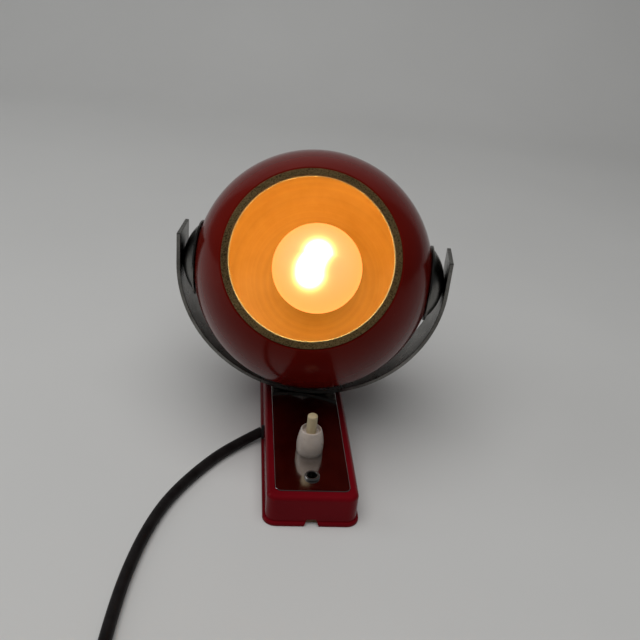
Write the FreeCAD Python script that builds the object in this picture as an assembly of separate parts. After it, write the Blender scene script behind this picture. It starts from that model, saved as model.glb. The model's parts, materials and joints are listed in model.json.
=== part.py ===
import FreeCAD, Part
import math
import os

# An eyeball lamp: a painted metal ball with a round opening turns in a U-shaped chrome strap, and
# the strap swivels on a long box-shaped base that carries a push switch and the mains cord.
# Millimetres. The origin is on the base's underside, on the strap's swivel axis. +Z is up, the
# base lies along Y with its switch end towards -Y, and everything is drawn at its rest pose.

V = FreeCAD.Vector
X_AXIS = V(1, 0, 0)
Y_AXIS = V(0, 1, 0)
Z_AXIS = V(0, 0, 1)
SIDES = (-1, 1)

# Base housing, a pressed box that is open underneath
HOUSING_HALF_WIDTH = 21.1
HOUSING_FRONT_Y = -93.5
HOUSING_REAR_Y = 38.0
HOUSING_TOP = 15.8
HOUSING_WALL = 1.4
HOUSING_CORNER = 5.0
HOUSING_TOP_ROUND = 2.2
LIP_WIDTH = 1.2
LIP_HEIGHT = 1.8
LIP_ROUND = 1.1
NOTCH_HALF_WIDTHS = (3.5, 2.1)
NOTCH_HEIGHT = 3.0
NOTCH_DEPTH = 8.0

# Chrome cover plate, let into the top of the housing
PLATE_HALF_WIDTH = 17.2
PLATE_MARGIN_Y = 4.3
PLATE_TOP = 16.1
PLATE_THICKNESS = 0.8
PLATE_CORNER = 3.0
PLATE_EDGE_ROUND = 0.25
RECESS_GAP = 0.15

# Fibre plate that closes the base from below, with its screws and posts
BACK_PLATE_BOTTOM = 0.0
BACK_PLATE_TOP = 1.8
BACK_PLATE_GAP = 0.2
POST_YS = (-71.5, 32.0)
POST_RADIUS = 2.5
SMALL_SCREW_RADIUS = 1.25
SMALL_HEAD_RADIUS = 2.3

# Eyelets for two wall screws
EYELET_YS = (-79.4, 24.6)
EYELET_BORE = 2.5
EYELET_TUBE = 2.9
EYELET_FLANGE = 3.6
EYELET_TOP = 17.4

# Push switch
SWITCH_Y = -59.2
SWITCH_NECK_RADIUS = 5.0
SWITCH_NECK_BOTTOM = 12.0
BARREL_TOP = 28.8
BARREL_WIDEST = 6.55
BARREL_RIM_RADIUS = 4.9
BARREL_CUP_RADIUS = 4.3
BARREL_CUP_FLOOR = 27.0
BARREL_BORE = 2.52
PIN_RADIUS = 2.45
PIN_TIP = 36.6
PIN_TIP_ROUND = 0.9
PIN_COLLAR_RADIUS = 3.6
PIN_COLLAR_BOTTOM = 10.6
PIN_COLLAR_HEIGHT = 1.0
SWITCH_BODY_RADIUS = 8.0
SWITCH_BODY_BOTTOM = 3.0
SWITCH_CAVITY_RADIUS = 4.2
SWITCH_CAVITY_BOTTOM = 5.0
SPRING_RADIUS = 2.8
SPRING_WIRE = 0.25
SPRING_TURNS = 4

# Ball
BALL_CENTRE = V(0, 0, 84.4)
BALL_RADIUS = 60.0
BALL_WALL = 1.2
AIM_ELEVATION = 31.7
BRACKET_TURN = -8.3
RIM_PLANE = 43.3
RIM_THICKNESS = 0.8
RIM_OUTER = 41.5
RIM_INNER = 38.3
RIM_SKIRT = (39.6, 40.3)
RIM_SKIRT_DEPTH = 1.2
REFLECTOR_RADIUS = 56.9
REFLECTOR_WALL = 0.6
REFLECTOR_PLANE = 41.6
REFLECTOR_BEAD = 0.5
REFLECTOR_PIVOT_HOLE = 5.2

# Strap
STRAP_OUTER = 68.2
STRAP_THICKNESS = 2.0
STRAP_WIDTH = 20.0
STRAP_ARM = 16.1
STRAP_EDGE_ROUND = 0.3
STRAP_PAD_RADIUS = 9.5

# Swivel: a hollow stud through the base, the plate and the strap
STUD_RADIUS = 5.0
STUD_BORE = 3.5
STUD_BOTTOM = 9.5
STUD_TOP = 21.7
SWIVEL_CLEARANCE = 0.05
SWIVEL_NUT_FLATS = 14.0
SWIVEL_NUT_HEIGHT = 2.6
LOCK_NUT_HEIGHT = 3.0
WASHER_THICKNESS = 0.5
WASHER_RADIUS = 8.5
SWIVEL_GAP = 0.1

# Pivots, measured outwards from the ball's centre along the pivot axis
PIVOT_SHANK = 2.0
PIVOT_HEAD = 4.0
PIVOT_INNER_END = 53.2
PIVOT_CLEARANCE = 0.05
BUSH_SPAN = (56.75, 60.3)
BUSH_SLEEVE = 3.6
BUSH_FLANGE = 6.5
BUSH_FLANGE_SPAN = (56.9, 58.1)
PIVOT_WASHER_RADIUS = 4.5
PIVOT_WASHER_SPAN = (56.0, 56.6)
PIVOT_NUT_SPAN = (53.6, 56.0)
PIVOT_NUT_FLATS = 7.0
DOME_RIM = 57.8
DOME_RADIUS = 18.5
DOME_FOOT = 19.0
DOME_FOOT_HEIGHT = 0.8
DOME_APEX = 66.3
DOME_WALL = 1.0

# Lampholder and bulb, measured along the ball's aim from the ball's centre. They sit a little to
# the right of the ball's own axis.
LAMP_OFFSET = 2.0
HOLDER_RADIUS = 12.5
HOLDER_BORE = 8.2
HOLDER_BACK = -56.0
HOLDER_FLOOR = -50.0
HOLDER_MOUTH = -25.5
HOLDER_BOSS_RADIUS = 6.0
HOLDER_BOSS_BACK = -58.2
HOLDER_SCREW_HEAD = 1.7
BULB_RADIUS = 22.5
BULB_CENTRE = 8.0
BULB_LENGTH = 77.0
BULB_GLASS = 0.8
BULB_NECK_RADIUS = 7.0
BULB_NECK_END = -26.5
CAP_RADIUS = 6.9
CAP_BACK = -43.5
CAP_FLOOR = -42.0
CAP_WALL = 0.4
FILAMENT_RADIUS = 6.0
FILAMENT_WIRE = 0.4
FILAMENT_BEHIND_CENTRE = 1.0
STEM_TOP = -8.0
STEM_RADII = (3.0, 2.0)
STEM_LEAD_RADIUS = 0.3
STEM_LEAD_SPREAD = 1.2
LEAD_INLET_ANGLE = 20.0
LEAD_BORE = 2.7
LEAD_SLEEVE = 3.9
LEAD_FLANGE = 5.5

# Mains cord. Its route leaves the base's left wall, lies on the floor and ends in a stored coil.
CORD_RADIUS = 2.6
CORD_EXIT = V(-22.3, -31.0, 5.3)
CORD_INNER_END_X = -9.0
CORD_ROUTE = [
    CORD_EXIT,
    V(-32.5, -36.9, 3.0),
    V(-47.0, -51.2, 2.6),
    V(-64.0, -77.0, 2.6),
    V(-72.6, -99.8, 2.6),
    V(-78.4, -127.0, 2.6),
    V(-81.2, -154.5, 2.6),
    V(-82.3, -179.5, 2.6),
    V(-82.4, -204.0, 2.6),
]
COIL_CENTRE = V(-46.0, -213.0, 0)
COIL_INNER = 17.8
COIL_OUTER = 39.4
COIL_HEIGHT = 10.4
COIL_ROUND = 2.0
TAIL_ROUTE = [
    V(-62.5, -248.3, 2.6),
    V(-41.0, -256.0, 2.6),
    V(-18.0, -254.5, 2.7),
    V(3.0, -248.0, 6.9),
]
CORNER_SHARE = 0.45

# Cord entry inside the base
GROMMET_FLANGE = 3.45
GROMMET_SLEEVE = 3.1
GROMMET_FLANGE_THICKNESS = 1.2
CLAMP_X = (-18.0, -12.0)
CLAMP_HALF_LENGTH = 8.0
CLAMP_TOP = 9.2
CLAMP_SCREW_OFFSET = 5.2
CLAMP_HEAD_HEIGHT = 1.4
CLAMP_HALF_GAP = 0.3
SLOT_HALF_WIDTH = 0.4

# Terminal block and wires
BLOCK_HALF_WIDTH = 9.0
BLOCK_Y = (-45.0, -36.0)
BLOCK_TOP = 9.5
WIRE_LEVEL = 5.0
WIRE_RADIUS = 0.8
WIRE_X = 4.0
WIRE_PITCH = 0.9
INSERT_OUTER = 2.0
INSERT_BORE = 1.2
BLOCK_SCREW_RADIUS = 1.2
BLOCK_SCREW_OFFSET = 2.2
CONTACT_END_Y = -47.5
CONTACT_HALF_WIDTH = 1.5
CONTACT_HALF_THICKNESS = 0.4

# Flat two-pin plug, lying on the floor
PLUG_AT = TAIL_ROUTE[-1]
PLUG_HEADING = 20.0
PLUG_OUTLINE = [(10.0, 5.0), (24.0, 16.0), (30.0, 17.6), (46.0, 17.6)]
PLUG_THICKNESS = 13.7
PLUG_ROUND = 2.5
BOOT_RADII = (3.3, 4.6)
PLUG_PIN_RADIUS = 2.0
PLUG_PIN_LENGTH = 19.0
PLUG_PIN_PITCH = 18.6


# ---- Shapes ----

def cylinder(radius, low, high, x=0.0, y=0.0):
    return Part.makeCylinder(radius, high - low, V(x, y, low), Z_AXIS)


def ring(outer, inner, low, high, x=0.0, y=0.0):
    return cylinder(outer, low, high, x, y).cut(cylinder(inner, low - 1, high + 1, x, y))


def block(x_span, y_span, z_span):
    size = [span[1] - span[0] for span in (x_span, y_span, z_span)]
    return Part.makeBox(size[0], size[1], size[2], V(x_span[0], y_span[0], z_span[0]))


def turned(profile):
    """A solid of revolution about Z from a closed outline of (radius, height) points."""
    points = [V(radius, 0, height) for radius, height in profile]
    return Part.Face(Part.makePolygon(points + points[:1])).revolve(V(0, 0, 0), Z_AXIS, 360)


def prism(points, low, high):
    """An upright prism on an outline of (x, y) points."""
    corners = [V(x, y, low) for x, y in points]
    return Part.Face(Part.makePolygon(corners + corners[:1])).extrude(V(0, 0, high - low))


def hexagon(flats, low, high):
    radius = flats / 2 / math.cos(math.pi / 6)
    turns = [math.radians(60 * k + 30) for k in range(6)]
    return prism([(radius * math.cos(a), radius * math.sin(a)) for a in turns], low, high)


def upright_edges(shape):
    return [e for e in shape.Edges if e.BoundBox.XLength < 1e-6 and e.BoundBox.YLength < 1e-6]


def edges_at_height(shape, height):
    spans = [(edge, edge.BoundBox) for edge in shape.Edges]
    return [edge for edge, box in spans if max(abs(box.ZMin - height), abs(box.ZMax - height)) < 1e-4]


def rounded_slab(half_width, y_span, z_span, corner):
    slab = block((-half_width, half_width), y_span, z_span)
    return slab.makeFillet(corner, upright_edges(slab))


def along_x(shape):
    """Turns a shape that is drawn about Z so that its +Z end points along +X."""
    shape.rotate(V(0, 0, 0), Y_AXIS, 90)
    return shape


def both_sides(shape):
    """A shape drawn about Z, set on both ends of the pivot axis."""
    right = along_x(shape.copy())
    left = right.copy()
    left.rotate(V(0, 0, 0), Z_AXIS, 180)
    return [left, right]


def in_bracket(shape):
    """From the strap's own frame, centred on the ball, to its place on the lamp."""
    shape.rotate(V(0, 0, 0), Z_AXIS, BRACKET_TURN)
    shape.translate(BALL_CENTRE)
    return shape


def in_shade(shape):
    """From the ball's own frame, aimed along +Z, to its place in the strap."""
    shape.rotate(V(0, 0, 0), X_AXIS, 90 - AIM_ELEVATION)
    return in_bracket(shape)


def on_lamp_axis(shape):
    """From the bulb's axis, along +Z, to its place beside the ball's own axis."""
    return in_shade(shape.translated(V(LAMP_OFFSET, 0, 0)))


def swept_tube(name, points, radius):
    """A tube along straight runs that are joined by tangent arcs."""
    edges = []
    start = points[0]
    radii = []
    for before, corner, after in zip(points, points[1:], points[2:]):
        into = (corner - before).normalize()
        out = (after - corner).normalize()
        half_turn = into.getAngle(out) / 2
        reach = CORNER_SHARE * min(before.distanceToPoint(corner), corner.distanceToPoint(after))
        bend = reach / math.tan(half_turn)
        inward = (out - into).normalize()
        middle = corner + inward * (bend / math.cos(half_turn) - bend)
        arc_start = corner - into * reach
        arc_end = corner + out * reach
        edges.append(Part.LineSegment(start, arc_start).toShape())
        edges.append(Part.Arc(arc_start, middle, arc_end).toShape())
        start = arc_end
        radii.append(round(bend, 1))
    edges.append(Part.LineSegment(start, points[-1]).toShape())
    path = Part.Wire(edges)
    section = Part.Wire(Part.makeCircle(radius, points[0], points[1] - points[0]))
    tube = path.makePipeShell([section], True, False)
    share = tube.Volume / (math.pi * radius ** 2 * path.Length)
    print(f"{name}: length {path.Length:.1f}, bends {radii}, volume / expected {share:.4f}")
    return tube


# ---- Base ----

def base_housing():
    y_span = (HOUSING_FRONT_Y, HOUSING_REAR_Y)
    body = rounded_slab(HOUSING_HALF_WIDTH, y_span, (0, HOUSING_TOP), HOUSING_CORNER)
    body = body.makeFillet(HOUSING_TOP_ROUND, edges_at_height(body, HOUSING_TOP))
    lip_span = (HOUSING_FRONT_Y - LIP_WIDTH, HOUSING_REAR_Y + LIP_WIDTH)
    lip = rounded_slab(HOUSING_HALF_WIDTH + LIP_WIDTH, lip_span, (0, LIP_HEIGHT), HOUSING_CORNER + LIP_WIDTH)
    lip = lip.makeFillet(LIP_ROUND, edges_at_height(lip, LIP_HEIGHT))
    body = body.fuse(lip).removeSplitter()
    return body.cut([housing_hollow(), plate_recess(), screwdriver_notch(), cord_hole()] + top_holes())


def housing_hollow():
    y_span = (HOUSING_FRONT_Y + HOUSING_WALL, HOUSING_REAR_Y - HOUSING_WALL)
    half_width = HOUSING_HALF_WIDTH - HOUSING_WALL
    return rounded_slab(half_width, y_span, (-1, HOUSING_TOP - HOUSING_WALL), HOUSING_CORNER - HOUSING_WALL)


def plate_recess():
    margin = PLATE_MARGIN_Y - RECESS_GAP
    y_span = (HOUSING_FRONT_Y + margin, HOUSING_REAR_Y - margin)
    z_span = (PLATE_TOP - PLATE_THICKNESS, HOUSING_TOP + 1)
    return rounded_slab(PLATE_HALF_WIDTH + RECESS_GAP, y_span, z_span, PLATE_CORNER + RECESS_GAP)


def screwdriver_notch():
    """The tapered notch at the foot of the front wall, where the base is prised off its back plate."""
    low, high = NOTCH_HALF_WIDTHS
    outline = [(-low, -1), (low, -1), (low, 0), (high, NOTCH_HEIGHT), (-high, NOTCH_HEIGHT), (-low, 0)]
    notch = prism(outline, 0, NOTCH_DEPTH)
    notch.rotate(V(0, 0, 0), X_AXIS, 90)
    return notch.translated(V(0, HOUSING_FRONT_Y + NOTCH_DEPTH / 2, 0))


def cord_hole():
    hole = along_x(cylinder(GROMMET_SLEEVE, 0, LIP_WIDTH + HOUSING_WALL + 4))
    return hole.translated(V(-HOUSING_HALF_WIDTH - LIP_WIDTH, CORD_EXIT.y, CORD_EXIT.z))


def top_holes():
    """The holes that the housing's top and the cover plate share."""
    low, high = HOUSING_TOP - HOUSING_WALL - 1, PLATE_TOP + 1
    holes = [cylinder(STUD_RADIUS, low, high), cylinder(SWITCH_NECK_RADIUS, low, high, 0, SWITCH_Y)]
    return holes + [cylinder(EYELET_TUBE, low, high, 0, y) for y in EYELET_YS]


def cover_plate():
    y_span = (HOUSING_FRONT_Y + PLATE_MARGIN_Y, HOUSING_REAR_Y - PLATE_MARGIN_Y)
    plate = rounded_slab(PLATE_HALF_WIDTH, y_span, (PLATE_TOP - PLATE_THICKNESS, PLATE_TOP), PLATE_CORNER)
    plate = plate.makeFillet(PLATE_EDGE_ROUND, edges_at_height(plate, PLATE_TOP))
    return plate.cut(top_holes())


def back_plate():
    inset = HOUSING_WALL + BACK_PLATE_GAP
    y_span = (HOUSING_FRONT_Y + inset, HOUSING_REAR_Y - inset)
    plate = rounded_slab(HOUSING_HALF_WIDTH - inset, y_span, (BACK_PLATE_BOTTOM, BACK_PLATE_TOP),
                         HOUSING_CORNER - inset)
    eyelet_holes = [cylinder(EYELET_TUBE, -1, 3, 0, y) for y in EYELET_YS]
    return plate.cut(eyelet_holes + back_plate_screws())


def back_plate_screws():
    head = SMALL_HEAD_RADIUS
    shank = SMALL_SCREW_RADIUS
    screw = turned([(0, BACK_PLATE_BOTTOM), (head, BACK_PLATE_BOTTOM), (shank, BACK_PLATE_TOP - 0.3),
                    (shank, 8.0), (0, 8.0)])
    return [screw.translated(V(0, y, 0)) for y in POST_YS]


def back_plate_posts():
    low, high = BACK_PLATE_TOP, HOUSING_TOP - HOUSING_WALL
    return [ring(POST_RADIUS, SMALL_SCREW_RADIUS, low, high, 0, y) for y in POST_YS]


def fixing_eyelets():
    """Tubes with a rolled rim that stands on the cover plate."""
    roll_radius = (EYELET_TOP - PLATE_TOP) / 2
    tube = turned([(EYELET_BORE, BACK_PLATE_BOTTOM), (EYELET_TUBE, BACK_PLATE_BOTTOM),
                   (EYELET_TUBE, EYELET_TOP - roll_radius), (EYELET_BORE, EYELET_TOP - roll_radius)])
    roll_centre = EYELET_FLANGE - roll_radius
    roll = Part.makeTorus(roll_centre, roll_radius, V(0, 0, EYELET_TOP - roll_radius), Z_AXIS)
    bore = cylinder(EYELET_BORE, BACK_PLATE_BOTTOM, EYELET_TOP)
    eyelet = tube.fuse(roll).cut(bore).removeSplitter()
    return [eyelet.translated(V(0, y, 0)) for y in EYELET_YS]


# ---- Switch ----

def switch_barrel():
    """A tapered sleeve, widest near its foot, with a thin-rimmed cup round the pin."""
    widest, rim, cup = BARREL_WIDEST, BARREL_RIM_RADIUS, BARREL_CUP_RADIUS
    profile = [(BARREL_BORE, SWITCH_NECK_BOTTOM), (SWITCH_NECK_RADIUS, SWITCH_NECK_BOTTOM),
               (SWITCH_NECK_RADIUS, PLATE_TOP), (widest - 0.35, PLATE_TOP), (widest - 0.1, PLATE_TOP + 1.2),
               (widest, PLATE_TOP + 3.4), (widest - 0.1, PLATE_TOP + 5.4), (widest - 0.4, PLATE_TOP + 7.8),
               (widest - 0.9, PLATE_TOP + 10.3), (rim + 0.2, BARREL_TOP - 0.5), (rim - 0.1, BARREL_TOP - 0.1),
               (rim - 0.3, BARREL_TOP), (cup + 0.1, BARREL_TOP - 0.1), (cup, BARREL_TOP - 0.4),
               (cup - 0.2, BARREL_CUP_FLOOR), (BARREL_BORE, BARREL_CUP_FLOOR)]
    return turned(profile).translated(V(0, SWITCH_Y, 0))


def push_pin():
    shaft = cylinder(PIN_RADIUS, PIN_COLLAR_BOTTOM, PIN_TIP)
    shaft = shaft.makeFillet(PIN_TIP_ROUND, edges_at_height(shaft, PIN_TIP))
    collar = cylinder(PIN_COLLAR_RADIUS, PIN_COLLAR_BOTTOM, PIN_COLLAR_BOTTOM + PIN_COLLAR_HEIGHT)
    return shaft.fuse(collar).removeSplitter().translated(V(0, SWITCH_Y, 0))


def switch_body():
    top = HOUSING_TOP - HOUSING_WALL
    body = cylinder(SWITCH_BODY_RADIUS, SWITCH_BODY_BOTTOM, top)
    cavity = cylinder(SWITCH_CAVITY_RADIUS, SWITCH_CAVITY_BOTTOM, SWITCH_NECK_BOTTOM)
    neck = cylinder(SWITCH_NECK_RADIUS, SWITCH_NECK_BOTTOM, top + 1)
    return body.cut([cavity, neck]).translated(V(0, SWITCH_Y, 0))


def switch_contacts():
    body = cylinder(SWITCH_BODY_RADIUS, SWITCH_BODY_BOTTOM, HOUSING_TOP, 0, SWITCH_Y)
    level = (WIRE_LEVEL - CONTACT_HALF_THICKNESS, WIRE_LEVEL + CONTACT_HALF_THICKNESS)
    tabs = []
    for side in SIDES:
        middle = side * WIRE_X
        x_span = (middle - CONTACT_HALF_WIDTH, middle + CONTACT_HALF_WIDTH)
        tab = block(x_span, (SWITCH_Y + 4, CONTACT_END_Y), level)
        tabs.append(tab.cut(body))
    return tabs


def pin_spring():
    low = SWITCH_CAVITY_BOTTOM + SPRING_WIRE
    height = PIN_COLLAR_BOTTOM - SPRING_WIRE - low
    helix = Part.makeLongHelix(height / SPRING_TURNS, height, SPRING_RADIUS)
    section = Part.Wire(Part.makeCircle(SPRING_WIRE, V(SPRING_RADIUS, 0, 0), Y_AXIS))
    coil = Part.Wire(helix.Edges).makePipeShell([section], True, True)
    return coil.translated(V(0, SWITCH_Y, low))


# ---- Swivel ----

def swivel_stud():
    return ring(STUD_RADIUS, STUD_BORE, STUD_BOTTOM, STUD_TOP)


def swivel_lock_nut():
    top = HOUSING_TOP - HOUSING_WALL
    return hexagon(SWIVEL_NUT_FLATS, top - LOCK_NUT_HEIGHT, top).cut(cylinder(STUD_RADIUS, 0, 20))


def strap_foot_top():
    return BALL_CENTRE.z - STRAP_OUTER + STRAP_THICKNESS


def swivel_washer():
    low = strap_foot_top() + SWIVEL_GAP
    return ring(WASHER_RADIUS, STUD_RADIUS, low, low + WASHER_THICKNESS)


def swivel_nut():
    low = strap_foot_top() + SWIVEL_GAP + WASHER_THICKNESS
    nut = hexagon(SWIVEL_NUT_FLATS, low, low + SWIVEL_NUT_HEIGHT)
    return nut.cut(cylinder(STUD_RADIUS, low - 1, low + SWIVEL_NUT_HEIGHT + 1))


# ---- Terminal block, wires and cord entry ----

def terminal_block():
    body = block((-BLOCK_HALF_WIDTH, BLOCK_HALF_WIDTH), BLOCK_Y, (BACK_PLATE_TOP, BLOCK_TOP))
    middle = sum(BLOCK_Y) / 2
    for side in SIDES:
        bore = Part.makeCylinder(INSERT_OUTER, 20, V(side * WIRE_X, BLOCK_Y[0] - 5, WIRE_LEVEL), Y_AXIS)
        wells = [cylinder(BLOCK_SCREW_RADIUS, WIRE_LEVEL, 20, side * WIRE_X, middle + k * BLOCK_SCREW_OFFSET)
                 for k in SIDES]
        body = body.cut([bore] + wells)
    return body


def terminal_inserts():
    length = BLOCK_Y[1] - BLOCK_Y[0]
    inserts = []
    for side in SIDES:
        foot = V(side * WIRE_X, BLOCK_Y[0], WIRE_LEVEL)
        tube = Part.makeCylinder(INSERT_OUTER, length, foot, Y_AXIS)
        inserts.append(tube.cut([Part.makeCylinder(INSERT_BORE, length, foot, Y_AXIS)] + terminal_screws()))
    return inserts


def terminal_screws():
    middle = sum(BLOCK_Y) / 2
    low, high = WIRE_LEVEL + WIRE_RADIUS, BLOCK_TOP - 0.5
    return [cylinder(BLOCK_SCREW_RADIUS, low, high, side * WIRE_X, middle + k * BLOCK_SCREW_OFFSET)
            for side in SIDES for k in SIDES]


def inner_wires():
    rear = BLOCK_Y[1] - 3
    front = BLOCK_Y[0] + 3
    wires = []
    for side in SIDES:
        y = CORD_EXIT.y + side * WIRE_PITCH
        route = [V(CORD_INNER_END_X, y, WIRE_LEVEL), V(side * WIRE_X, y, WIRE_LEVEL),
                 V(side * WIRE_X, rear, WIRE_LEVEL)]
        wires.append(swept_tube("inner wire", route, WIRE_RADIUS))
        foot = V(side * WIRE_X, CONTACT_END_Y, WIRE_LEVEL)
        wires.append(Part.makeCylinder(WIRE_RADIUS, front - CONTACT_END_Y, foot, Y_AXIS))
    return wires


def at_cord_exit(shape):
    """A shape drawn about Z, turned along X and set on the cord hole's centre line."""
    shape = along_x(shape)
    shape.translate(V(0, CORD_EXIT.y, CORD_EXIT.z))
    return shape


def cord_grommet():
    outside = -HOUSING_HALF_WIDTH
    inside = outside + HOUSING_WALL
    flange = GROMMET_FLANGE
    sleeve = GROMMET_SLEEVE
    thick = GROMMET_FLANGE_THICKNESS
    return at_cord_exit(turned([(CORD_RADIUS, outside - thick), (flange, outside - thick), (flange, outside),
                                (sleeve, outside), (sleeve, inside), (flange, inside),
                                (flange, inside + thick), (CORD_RADIUS, inside + thick)]))


def cord_inner_end():
    return at_cord_exit(cylinder(CORD_RADIUS, CORD_EXIT.x, CORD_INNER_END_X))


def clamp_screws():
    x = sum(CLAMP_X) / 2
    screws = []
    for side in SIDES:
        y = CORD_EXIT.y + side * CLAMP_SCREW_OFFSET
        shank = cylinder(SMALL_SCREW_RADIUS, BACK_PLATE_TOP, CLAMP_TOP, x, y)
        head = cylinder(SMALL_HEAD_RADIUS, CLAMP_TOP, CLAMP_TOP + CLAMP_HEAD_HEIGHT, x, y)
        slot = block((x - SLOT_HALF_WIDTH, x + SLOT_HALF_WIDTH), (y - 3, y + 3),
                     (CLAMP_TOP + CLAMP_HEAD_HEIGHT / 2, CLAMP_TOP + 3))
        screws.append(shank.fuse(head).cut(slot))
    return screws


def cord_clamp():
    y_span = (CORD_EXIT.y - CLAMP_HALF_LENGTH, CORD_EXIT.y + CLAMP_HALF_LENGTH)
    cord = cord_inner_end()
    halves = [(BACK_PLATE_TOP, CORD_EXIT.z - CLAMP_HALF_GAP), (CORD_EXIT.z + CLAMP_HALF_GAP, CLAMP_TOP)]
    return [block(CLAMP_X, y_span, half).cut([cord] + clamp_screws()) for half in halves]


# ---- Strap and pivots ----

def bracket_strap():
    half = STRAP_WIDTH / 2
    inner = STRAP_OUTER - STRAP_THICKNESS
    outer_disc = Part.makeCylinder(STRAP_OUTER, STRAP_WIDTH, V(0, -half, 0), Y_AXIS)
    inner_disc = Part.makeCylinder(inner, STRAP_WIDTH + 2, V(0, -half - 1, 0), Y_AXIS)
    upper = block((-80, 80), (-40, 40), (0, 80))
    strap = outer_disc.cut([inner_disc, upper])
    for side in SIDES:
        x_span = sorted((side * inner, side * STRAP_OUTER))
        strap = strap.fuse(block(x_span, (-half, half), (0, STRAP_ARM)))
    strap = strap.removeSplitter()
    strap = strap.makeFillet(STRAP_EDGE_ROUND, strap.Edges)
    pad = cylinder(STRAP_PAD_RADIUS, -STRAP_OUTER, -inner)
    above_pad = cylinder(STRAP_PAD_RADIUS, -inner, -inner + 3)
    stud_hole = cylinder(STUD_RADIUS + SWIVEL_CLEARANCE, -STRAP_OUTER - 1, -inner + 1)
    strap = strap.fuse(pad).cut([above_pad, stud_hole] + both_sides(pivot_screw_blank()))
    return in_bracket(strap)


def pivot_screw_blank():
    inner = STRAP_OUTER - STRAP_THICKNESS
    return turned([(0, PIVOT_INNER_END), (PIVOT_SHANK, PIVOT_INNER_END), (PIVOT_SHANK, inner),
                   (PIVOT_HEAD, STRAP_OUTER), (0, STRAP_OUTER)])


def pivot_screws():
    slot = block((-SLOT_HALF_WIDTH, SLOT_HALF_WIDTH), (-6, 6), (STRAP_OUTER - 0.8, STRAP_OUTER + 1))
    return [in_bracket(screw) for screw in both_sides(pivot_screw_blank().cut(slot))]


def pivot_washers():
    washer = ring(PIVOT_WASHER_RADIUS, PIVOT_SHANK, PIVOT_WASHER_SPAN[0], PIVOT_WASHER_SPAN[1])
    return [in_bracket(part) for part in both_sides(washer)]


def pivot_nuts():
    nut = hexagon(PIVOT_NUT_FLATS, PIVOT_NUT_SPAN[0], PIVOT_NUT_SPAN[1])
    nut = nut.cut(cylinder(PIVOT_SHANK, PIVOT_NUT_SPAN[0] - 1, PIVOT_NUT_SPAN[1] + 1))
    return [in_bracket(part) for part in both_sides(nut)]


def dome_spacers():
    sag = DOME_APEX - DOME_RIM
    radius = (DOME_RADIUS ** 2 + sag ** 2) / (2 * sag)
    centre = V(0, 0, DOME_APEX - radius)
    cup = Part.makeSphere(radius, centre).cut(Part.makeSphere(radius - DOME_WALL, centre))
    inner = STRAP_OUTER - STRAP_THICKNESS
    cup = cup.common(cylinder(radius + 1, DOME_RIM, inner))
    foot = ring(DOME_FOOT, DOME_RADIUS - DOME_WALL, DOME_RIM, DOME_RIM + DOME_FOOT_HEIGHT)
    cup = cup.fuse(foot).cut(cylinder(PIVOT_SHANK + 0.1, DOME_RIM, inner + 1)).removeSplitter()
    return [in_bracket(part) for part in both_sides(cup)]


# ---- Ball ----

def toward_lead_inlet(shape):
    """A shape drawn about Z, turned to the lead's inlet beside the ball's rear pole."""
    shape.rotate(V(0, 0, 0), X_AXIS, 180 + LEAD_INLET_ANGLE)
    return shape


def shade_shell():
    shell = Part.makeSphere(BALL_RADIUS).cut(Part.makeSphere(BALL_RADIUS - BALL_WALL))
    mouth = cylinder(BALL_RADIUS, RIM_PLANE - RIM_THICKNESS, BALL_RADIUS + 1)
    pivots = both_sides(cylinder(BUSH_SLEEVE, 50, 70))
    screw_hole = cylinder(PIVOT_SHANK, -70, -50, LAMP_OFFSET)
    inlet = toward_lead_inlet(cylinder(LEAD_SLEEVE, 50, 70))
    return in_shade(shell.cut([mouth, screw_hole, inlet] + pivots))


def rim_ring():
    back = RIM_PLANE - RIM_THICKNESS
    skirt_in, skirt_out = RIM_SKIRT
    return in_shade(turned([(RIM_INNER, back), (skirt_in, back), (skirt_in, back - RIM_SKIRT_DEPTH),
                            (skirt_out, back - RIM_SKIRT_DEPTH), (skirt_out, back), (RIM_OUTER, back),
                            (RIM_OUTER, RIM_PLANE - 0.2), (RIM_OUTER - 0.2, RIM_PLANE),
                            (RIM_INNER + 0.2, RIM_PLANE), (RIM_INNER, RIM_PLANE - 0.2)]))


def reflector():
    skin = Part.makeSphere(REFLECTOR_RADIUS).cut(Part.makeSphere(REFLECTOR_RADIUS - REFLECTOR_WALL))
    mouth = cylinder(BALL_RADIUS, REFLECTOR_PLANE, BALL_RADIUS + 1)
    pivots = both_sides(cylinder(REFLECTOR_PIVOT_HOLE, 50, 70))
    holder = cylinder(HOLDER_RADIUS, -70, -40, LAMP_OFFSET)
    inlet = toward_lead_inlet(cylinder(LEAD_SLEEVE, 50, 70))
    skin = skin.cut([mouth, holder, inlet] + pivots)
    mouth_radius = math.sqrt((REFLECTOR_RADIUS - REFLECTOR_WALL / 2) ** 2 - REFLECTOR_PLANE ** 2)
    bead = Part.makeTorus(mouth_radius, REFLECTOR_BEAD, V(0, 0, REFLECTOR_PLANE + 0.2), Z_AXIS)
    return in_shade(skin.fuse(bead))


def pivot_bushes():
    bore = PIVOT_SHANK + PIVOT_CLEARANCE
    bush = turned([(bore, BUSH_SPAN[0]), (BUSH_SLEEVE, BUSH_SPAN[0]), (BUSH_SLEEVE, BUSH_FLANGE_SPAN[0]),
                   (BUSH_FLANGE, BUSH_FLANGE_SPAN[0]), (BUSH_FLANGE, BUSH_FLANGE_SPAN[1]),
                   (BUSH_SLEEVE, BUSH_FLANGE_SPAN[1]), (BUSH_SLEEVE, BUSH_SPAN[1]), (bore, BUSH_SPAN[1])])
    return [in_shade(part) for part in both_sides(bush)]


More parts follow.
